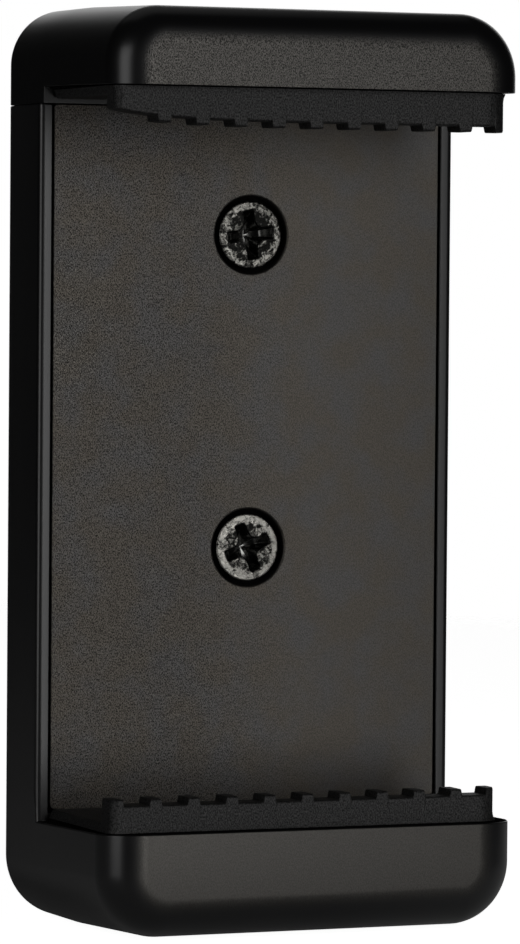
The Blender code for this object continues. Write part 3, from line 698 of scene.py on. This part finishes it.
def makePad(name, node, faceZ, side, grip):
    # A section in the Y-Z plane carried along X. Its front line, rear line and height change with X:
    # the left corner is a quarter round, the right one a quarter of an ellipse, and the lip's height
    # steps between teeth and grooves. Where the pad is pushed in, the height falls off with the
    # exponential of the distance from the left end. The foot spreads with the square of the depth.
    low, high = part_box(node)
    left, right = grip["left"] * mm, grip["right"] * mm
    frontY, rearY = low.y, high.y
    soft, halfTooth = pad["toothSoft"] * mm, grip["toothWidth"] / 2 * mm
    count = np.arange(grip["firstTooth"], pad["lastTooth"] + 1)
    teeth = count * pad["toothPitch"] * mm + grip["toothShift"] * mm
    x = padStations(left, right, teeth, halfTooth, (grip["rightLength"] + 0.1) * mm)
    offset = np.abs(x - teeth).min(axis=1, keepdims=True) - halfTooth
    ramp = np.clip(0.5 - offset / (2 * soft), 0, 1)
    tooth = ramp * ramp * (3 - 2 * ramp)
    edge, foot = pad["edge"] * mm, pad["foot"] * mm
    ease = roundOff(x, left, right, edge)
    pushed = grip["pushedIn"] * mm * np.exp((left - x) / (pad["pushLength"] * mm))
    top = grip["lip"] * mm - grip["toothHeight"] * mm * (1 - tooth) - pushed - ease
    base = pad["base"] * mm - ease
    leftRound = roundOff(x, left, np.inf, pad["leftCorner"] * mm)
    rightRound = roundOff(x, -np.inf, right, grip["rightLength"] * mm)
    front = frontY + leftRound + rightRound * pad["rightCorner"] / grip["rightLength"]
    lipRear = frontY + pad["lipDepth"] * mm - roundOff(x, left, right, pad["rearCorner"] * mm)
    rear = np.full_like(x, rearY)
    bottom = np.full_like(x, pad["seat"] * mm)
    sine, cosine = quarter(0, 90, 6)
    fall, rise = edge * (1 - sine), edge * (1 - cosine)
    y = [front, front, front, front + rise, lipRear - fall, lipRear + foot * (1 - cosine), rear - fall, rear]
    z = [bottom, base * 0.5, base, top - fall, top - rise, base + foot * (1 - sine), base - rise, bottom]
    y, z = np.hstack(y), np.hstack(z)
    middle = (left + right) / 2
    flare = 1 + pad["flare"] * mm / right * (1 - np.clip(z / (pad["base"] * mm), 0, 1)) ** 2
    strip = gridObject(name, np.stack([middle + (x - middle) * flare, y, faceZ + side * z], axis=-1))
    plugLow, plugHigh = sorted((faceZ - side * pad["plugDepth"] * mm, faceZ + side * base.max() / 2))
    return combine(strip, "UNION", hollow("plug", plugLow, plugHigh))


for name, node, faceZ, side, body, grip in (
    ("lower_grip", "lower_pad", lowerFaceZ, 1, "holder", lowerGrip),
    ("upper_grip", "upper_pad", upperFaceZ, -1, "jaw", upperGrip),
):
    strip = makePad(name, node, faceZ, side, grip)
    finishPiece(strip, rubberMaterial, body, [node], 45)
print("pads made")


# Screws

upperScrewMaterial = blackenedSteel("blackened_steel_upper", "plate_screw_upper", 0.09)
lowerScrewMaterial = blackenedSteel("blackened_steel_lower", "plate_screw_lower", 0.15)

screw = {
    "headRadius": 2.95, "headHeight": 2.1, "crown": 0.12, "edge": 0.22,
    "shankRadius": 1.45, "shankLength": 4.6,
    "crossSpan": 4.35, "crossWidth": 1.02, "crossDepth": 1.9,
    "innerRound": 0.8, "endRound": 0.14, "mouthRound": 0.07,
    "tipSize": 0.04, "tipSpread": 0.3, "points": 320,
}


def crossOutline():
    # A plus sign with rounded corners, as twelve corners, then spaced evenly along its length.
    a, b = screw["crossWidth"] / 2 * mm, screw["crossSpan"] / 2 * mm
    arm = [(b, -a), (b, a), (a, a)]
    corners = arm + [(-y, x) for x, y in arm] + [(-x, -y) for x, y in arm] + [(y, -x) for x, y in arm]
    radii = np.array([screw["endRound"], screw["endRound"], screw["innerRound"]] * 4) * mm
    line = roundedOutline(corners, radii, 10)
    closed = np.vstack([line, line[:1]])
    along = np.concatenate([[0], np.cumsum(np.linalg.norm(np.diff(closed, axis=0), axis=1))])
    spaced = np.linspace(0, along[-1], screw["points"], endpoint=False)
    return np.column_stack([np.interp(spaced, along, closed[:, axis]) for axis in (0, 1)])


def makeScrew(name, node, turn):
    # Rings from the point of the recess out to its mouth, over the head and down to the tip of the
    # shank. In the recess they are plus signs, then they pass evenly from the plus sign to the circle
    # of the flat, and from there on they are circles.
    centre = screwCentre(node)
    head, edge = screw["headRadius"] * mm, screw["edge"] * mm
    height, crown = screw["headHeight"] * mm, screw["crown"] * mm
    flat, mouthRound = head - edge, screw["mouthRound"] * mm
    mouth = crossOutline()
    normal = outlineNormals(mouth)

    def crownHeight(line):
        # A shallow dome: the height falls with the square of the distance from the middle.
        return height - crown * ((line**2).sum(1) / flat**2)

    def addRing(line, level):
        rings.append(np.column_stack([line, np.broadcast_to(level, len(line))]))

    rings = []
    deep, tipSize = screw["crossDepth"] * mm, screw["tipSize"]
    for share in np.linspace(0, 1, 9):
        # The plus sign narrows slowly at first and closes to a point at the bottom.
        size = tipSize + (1 - tipSize) * share ** screw["tipSpread"]
        addRing(mouth * size, height - deep * (1 - share))
    rings[-1][:, 2] = crownHeight(mouth) - mouthRound
    sine, cosine = quarter(15, 90, 5)
    for rise, out in zip(sine, 1 - cosine):
        line = mouth + normal * mouthRound * out
        addRing(line, crownHeight(line) - mouthRound * (1 - rise))
    lip = mouth + normal * mouthRound
    angle = np.unwrap(np.arctan2(lip[:, 1], lip[:, 0]))
    circle = np.column_stack([np.cos(angle), np.sin(angle)])
    for share in np.linspace(0.1, 1, 12):
        line = lip * (1 - share) + circle * flat * share
        addRing(line, crownHeight(line))
    edgeSine, edgeCosine = quarter(12, 90, 8)
    shoulder = height - crown - edge
    side = [(flat + edge * s, shoulder + edge * c) for s, c in zip(edgeSine, edgeCosine)]
    shank, tip = screw["shankRadius"] * mm, screw["shankLength"] * mm
    side += [(head, hair), (head - hair, 0), (shank, 0), (shank, -tip + shank / 2), (shank / 2, -tip)]
    for radius, level in side:
        addRing(circle * radius, level)
    rings = np.array(rings)
    across = rings[..., 0] * math.cos(turn) - rings[..., 1] * math.sin(turn)
    up = rings[..., 0] * math.sin(turn) + rings[..., 1] * math.cos(turn)
    seatY = plateLow.y + (plate["headSink"] + plate["headHeight"]) * mm
    rows = np.stack([centre[0] + across, seatY - rings[..., 2], centre[1] + up], axis=-1)
    return gridObject(name, rows)


for name, node, degrees, steel in (
    ("upper_plate_screw", "plate_screw_upper", 6.5, upperScrewMaterial),
    ("lower_plate_screw", "plate_screw_lower", 21.5, lowerScrewMaterial),
):
    finishPiece(makeScrew(name, node, math.radians(degrees)), steel, "holder", [node], 40)
print("screws made")


# Springs and the rods they hook on

spring = {
    "wire": 0.5, "diameter": 3.9, "turns": 40, "perTurn": 26, "sides": 10,
    "neck": 1.4, "hookGap": 0.12, "hookFrom": -10, "hookTo": 215, "hookSteps": 20,
}
rod = {"chamfer": 0.27, "tip": 0.01, "segments": 40}


def sweep(name, path, radius, sides):
    # A round wire along a path. Each ring lies across the path's direction, and its first spoke is
    # square to that direction and to one slanted line that the path never follows.
    ahead = unit(np.gradient(path, axis=0))
    slanted = np.array([0.6, 0.53, 0.6])
    first = unit(np.cross(ahead, slanted))
    second = np.cross(ahead, first)
    angle = np.arange(sides) * 2 * math.pi / sides
    cosine, sine = np.cos(angle)[None, :, None], np.sin(angle)[None, :, None]
    return gridObject(name, path[:, None] + (first[:, None] * cosine + second[:, None] * sine) * radius)


def makeSpring(name, node):
    # A helix between two hooks. Each hook is an arc round its rod, in the plane of the rod's section.
    low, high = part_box(node)
    rodLow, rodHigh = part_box("spring_rod_lower")
    upLow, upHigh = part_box("spring_rod_upper")
    x, y = (low.x + high.x) / 2, (rodLow.y + rodHigh.y) / 2
    rodRadius = (rodHigh.z - rodLow.z) / 2
    lowZ, highZ = (rodLow.z + rodHigh.z) / 2, (upLow.z + upHigh.z) / 2
    wire, neck = spring["wire"] * mm, spring["neck"] * mm
    hook = rodRadius + spring["hookGap"] * mm + wire / 2
    coil = (spring["diameter"] * mm - wire) / 2
    turns, count = spring["turns"], spring["turns"] * spring["perTurn"]
    angle = math.pi / 2 + np.linspace(0, turns * 2 * math.pi, count)
    rise = np.linspace(lowZ + hook + neck, highZ - hook - neck, count)
    helix = np.column_stack([x + coil * np.cos(angle), y + coil * np.sin(angle), rise])

    def hookArc(rodZ, up):
        # Starts at the back of the rod and passes over it to the front.
        turn = np.radians(np.linspace(spring["hookFrom"], spring["hookTo"], spring["hookSteps"]))
        return np.column_stack([0 * turn + x, y + hook * np.cos(turn), rodZ + up * hook * np.sin(turn)])

    path = np.vstack([hookArc(lowZ, -1)[::-1], helix, hookArc(highZ, 1)])
    return sweep(name, path, wire / 2, spring["sides"])


def makeRod(name, node):
    # A turned bar along X, chamfered at both ends.
    low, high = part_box(node)
    radius = (high.z - low.z) / 2
    chamfer, tip = rod["chamfer"] * mm, rod["tip"] * mm
    start = [(tip, low.x), (radius - chamfer, low.x), (radius, low.x + chamfer)]
    end = [(radius, high.x - chamfer), (radius - chamfer, high.x), (tip, high.x)]
    across, up, along = turnedRings(start + end, rod["segments"])
    centreY, centreZ = (low.y + high.y) / 2, (low.z + high.z) / 2
    return gridObject(name, np.stack([along, centreY + across, centreZ + up], axis=-1))


for name, node in (("left_spring", "spring_left"), ("right_spring", "spring_right")):
    wound = finishPiece(makeSpring(name, node), wireMaterial, None, [node], 60)
    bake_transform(wound)
for name, node, body in (
    ("lower_rod", "spring_rod_lower", "holder"),
    ("upper_rod", "spring_rod_upper", "jaw"),
):
    finishPiece(makeRod(name, node), wireMaterial, body, [node])
print("springs made")


# Tripod thread

insert = {
    "bore": 3.15, "pitch": 1.27, "threadDepth": 0.42, "fade": 0.6,
    "chamfer": 0.5, "edge": 0.1, "waist": 0.45, "rows": 121, "segments": 96,
}


def makeInsert(name):
    # A turned sleeve. In the bore the radius follows a triangle wave of height less turn times pitch,
    # clipped to flats at crest and root, so the rings shear into one continuous thread. It fades out
    # at both chamfers.
    low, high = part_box("tripod_insert")
    outer = (high.x - low.x) / 2
    bore, chamfer, edge = insert["bore"] * mm, insert["chamfer"] * mm, insert["edge"] * mm
    angle = np.arange(insert["segments"]) * 2 * math.pi / insert["segments"]
    height = np.linspace(low.z + chamfer, high.z - chamfer, insert["rows"])[:, None]
    phase = (height / (insert["pitch"] * mm) - angle[None] / (2 * math.pi)) % 1
    crest = np.clip(1.6 * (1 - np.abs(2 * phase - 1)) - 0.2, 0, 1)
    fromLow, fromHigh = height - low.z - chamfer, high.z - chamfer - height
    fade = np.clip(np.minimum(fromLow, fromHigh) / (insert["fade"] * mm), 0, 1)
    boreRadius = bore - insert["threadDepth"] * mm * crest * fade
    middle, groove, waist = (low.z + high.z) / 2, (high.z - low.z) / 8, outer - insert["waist"] * mm
    outside = np.array([
        (bore + chamfer, high.z), (outer - chamfer, high.z), (outer, high.z - chamfer),
        (outer, middle + groove), (waist, middle + groove / 2),
        (waist, middle - groove / 2), (outer, middle - groove),
        (outer, low.z + edge), (outer - edge, low.z), (bore + chamfer, low.z),
    ])
    flat = 0 * angle[None]
    radius = np.vstack([boreRadius, outside[:, :1] + flat])
    level = np.vstack([height + flat, outside[:, 1:] + flat])
    rows = np.stack([radius * np.cos(angle), radius * np.sin(angle), level], axis=-1)
    return gridObject(name, rows, closeRows=True)


finishPiece(makeInsert("tripod_thread"), brassMaterial, "holder", ["tripod_insert"], 40)
print("insert made")


# Floor, world, lamps and camera

studio = {
    "floorMiddle": (-0.02, 0.22), "floorFull": 0.245, "floorRadius": 0.285, "floorLevel": -0.0001,
    "floorPaint": "#f4f4f4", "floorGlow": 0.96, "floorSheen": 0.1, "sheenFullX": 0.03,
    "worldDim": 0.008, "backdropDirection": (0.388, 0.92, 0.05),
    "backdropEdge": 33, "backdropFull": 15, "backdropGloss": 0.6,
}
# Bearing and height in degrees, distance, width and height in metres, and power in watts.
lamps = {
    "key_softbox": (11.8, 5, 0.41, 0.115, 0.37, 0.73),
    "left_softbox": (-69, 6, 0.4, 0.2, 0.34, 0.33),
    "rear_softbox": (155, 8, 0.45, 0.34, 0.3, 0.15),
    "top_softbox": (176, 62, 0.45, 0.34, 0.3, 0.04),
}
# These two only give the back and the top a sheen, and leave floor and backdrop alone.
sheenLamps = ("rear_softbox", "top_softbox")
# Lens in mm, place in metres and turn in degrees, fitted to the holder's outline and edges in the photo.
view = {
    "lens": 203.813, "sensor": 36.0, "nearest": 0.02, "farthest": 10.0,
    "place": (-0.17995766, -0.42654857, 0.05556795), "turn": (87.97908, -0.457751, -22.809581),
}


def makeFloor():
    # A pale disc that fades into the white backdrop like the edge of a plinth, so the front still sees
    # the lamps below its own level. The camera sees it a little brighter than the lamps make it, so that
    # only the holder's shadow shows, and so does gloss to the right of the holder.
    outer, (middleX, middleY) = studio["floorRadius"], studio["floorMiddle"]
    angle = np.arange(96) * 2 * math.pi / 96
    rings = np.array([0.001, 0.1, 0.2, outer])[:, None]
    across, deep = middleX + rings * np.cos(angle), middleY + rings * np.sin(angle)
    flat = np.stack([across, deep, np.full((4, 96), studio["floorLevel"])], axis=-1)
    thing = gridObject("studio_floor", flat, capLast=False)
    material, tree, place = newMaterial("pale_floor")
    distance = addNode(tree, "VectorMath", [place, (middleX, middleY, 0)], operation="DISTANCE")
    keep = addNode(tree, "MapRange", [distance, outer, studio["floorFull"]], **smooth)
    ray = addNode(tree, "LightPath")
    split = addNode(tree, "SeparateXYZ", [place])
    reach = [(split, "X"), 0.0, studio["sheenFullX"], 0.0, studio["floorSheen"]]
    beside = addNode(tree, "MapRange", reach, **smooth)
    sheen = addNode(tree, "Math", [(ray, "Is Glossy Ray"), beside], operation="MULTIPLY")
    seen = [(ray, "Is Camera Ray"), studio["floorGlow"], sheen]
    glow = addNode(tree, "Math", seen, operation="MULTIPLY_ADD")
    paint = addNode(tree, "BsdfDiffuse", {"Color": studio["floorPaint"]})
    light = addNode(tree, "Emission", {"Color": "#ffffff", "Strength": glow})
    both = addNode(tree, "AddShader", [paint, light])
    mixed = addNode(tree, "MixShader", [keep, addNode(tree, "BsdfTransparent"), both])
    addNode(tree, "OutputMaterial", [mixed])
    thing.data.materials.append(material)


def makeWorld():
    # White to the camera. Gloss sees a white backdrop behind the holder and dark studio round it, as
    # black plastic needs to keep its depth.
    world = bpy.data.worlds.new("studio")
    bpy.context.scene.world = world
    world.use_nodes = True
    tree = world.node_tree
    tree.nodes.clear()
    place = addNode(tree, "TexCoord")
    ray = addNode(tree, "LightPath")
    towards = np.array(studio["backdropDirection"])
    towards = towards / np.linalg.norm(towards)
    facing = [(place, "Generated"), tuple(towards.tolist())]
    edge, full = math.radians(studio["backdropEdge"]), math.radians(studio["backdropFull"])
    cone = [addNode(tree, "VectorMath", facing, operation="DOT_PRODUCT"), math.cos(edge), math.cos(full)]
    backdrop = addNode(tree, "MapRange", [*cone, 0.0, studio["backdropGloss"]], **smooth)
    gloss = addNode(tree, "Math", [(ray, "Is Glossy Ray"), backdrop], operation="MULTIPLY")
    through = [(ray, "Is Camera Ray"), (ray, "Is Transmission Ray")]
    seen = addNode(tree, "Math", through, operation="MAXIMUM")
    white = addNode(tree, "Math", [seen, gloss], operation="MAXIMUM")
    level = addNode(tree, "MapRange", [white, 0.0, 1.0, studio["worldDim"], 1.0])
    sky = addNode(tree, "Background", {"Color": "#ffffff", "Strength": level})
    addNode(tree, "OutputWorld", [sky])


def softbox(name, azimuth, elevation, distance, width, height, power):
    # A rectangular lamp at that bearing from the holder's middle, facing it. Azimuth 0 is in front,
    # and positive to the right.
    turn, lift = math.radians(azimuth), math.radians(elevation)
    away = np.array([math.sin(turn) * math.cos(lift), -math.cos(turn) * math.cos(lift), math.sin(lift)])
    lamp = bpy.data.lights.new(name, "AREA")
    lamp.shape = "RECTANGLE"
    lamp.size, lamp.size_y = width, height
    lamp.energy = power
    thing = newObject(name, lamp)
    thing.location = np.array([0, 0, topZ / 2]) + away * distance
    thing.rotation_euler = (math.radians(90) - lift, 0, turn)
    return thing


def makeCamera():
    camera = bpy.data.cameras.new("photo_camera")
    camera.lens, camera.sensor_width = view["lens"], view["sensor"]
    camera.clip_start, camera.clip_end = view["nearest"], view["farthest"]
    thing = newObject("photo_camera", camera)
    thing.location = view["place"]
    thing.rotation_euler = [math.radians(degrees) for degrees in view["turn"]]
    bpy.context.scene.camera = thing


makeFloor()
makeWorld()
for name, place in lamps.items():
    lamp = softbox(name, *place)
    if name in sheenLamps:
        lamp.visible_camera = False
        lamp.visible_diffuse = False
makeCamera()
bpy.context.scene.view_settings.view_transform = "Standard"
print("studio made")
